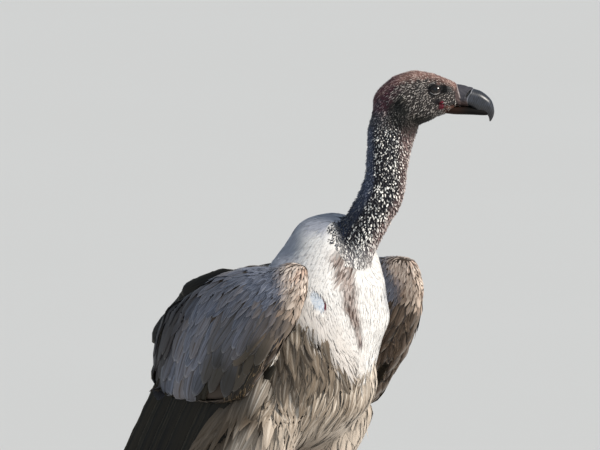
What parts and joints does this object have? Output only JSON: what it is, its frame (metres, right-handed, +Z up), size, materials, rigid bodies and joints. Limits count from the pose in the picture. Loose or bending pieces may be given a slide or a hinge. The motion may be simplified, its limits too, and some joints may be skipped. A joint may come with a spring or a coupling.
{
  "type": "white-backed vulture",
  "caption": "White-backed vulture standing upright, life size, long downy neck and head turned to its left, hooked bill, loosely folded wings, wedge tail, feet flat on the floor.",
  "frame": {"origin": "middle of the bounding box's base, on the floor between the soles and the tail", "axes": "+Z up, the body faces -Y, the bird's own left side is +X; the head is turned 36 degrees towards +X"},
  "size_m": [0.3248, 0.5406, 0.7894],
  "materials": {
    "head_down": "dark grey skin under short grey-brown down, blood-stained reddish on the crown and nape",
    "neck_down": "charcoal skin flecked all over with short pale down",
    "ruff_down": "soft creamy white down",
    "body_plumage": "buff-brown body feathers with pale shafts, white on the crop",
    "covert_plumage": "grey-brown wing feathers with pale edges",
    "flight_plumage": "blackish-brown flight feathers",
    "horn": "slate-black horn of the bill and claws",
    "eye": "wet, very dark brown eye",
    "leg_skin": "dark grey scaled skin"
  },
  "bodies": {
    "root": {"bill_upper": "horn", "cere": "horn", "bill_lower": "horn", "eye_right": "eye", "eye_left": "eye", "head": "head_down", "neck_upper": "neck_down", "neck_lower": "neck_down", "ruff": "ruff_down", "trunk": "body_plumage", "mantle": "covert_plumage", "tail_coverts": "body_plumage", "tail": "flight_plumage", "thigh_right": "body_plumage", "wing_coverts_right": "covert_plumage", "secondaries_right": "flight_plumage", "primaries_right": "flight_plumage", "tarsus_right": "leg_skin", "foot_right": "leg_skin", "claw_inner_right": "horn", "claw_middle_right": "horn", "claw_outer_right": "horn", "claw_hind_right": "horn", "thigh_left": "body_plumage", "wing_coverts_left": "covert_plumage", "secondaries_left": "flight_plumage", "primaries_left": "flight_plumage", "tarsus_left": "leg_skin", "foot_left": "leg_skin", "claw_inner_left": "horn", "claw_middle_left": "horn", "claw_outer_left": "horn", "claw_hind_left": "horn"}
  },
  "joints": []
}
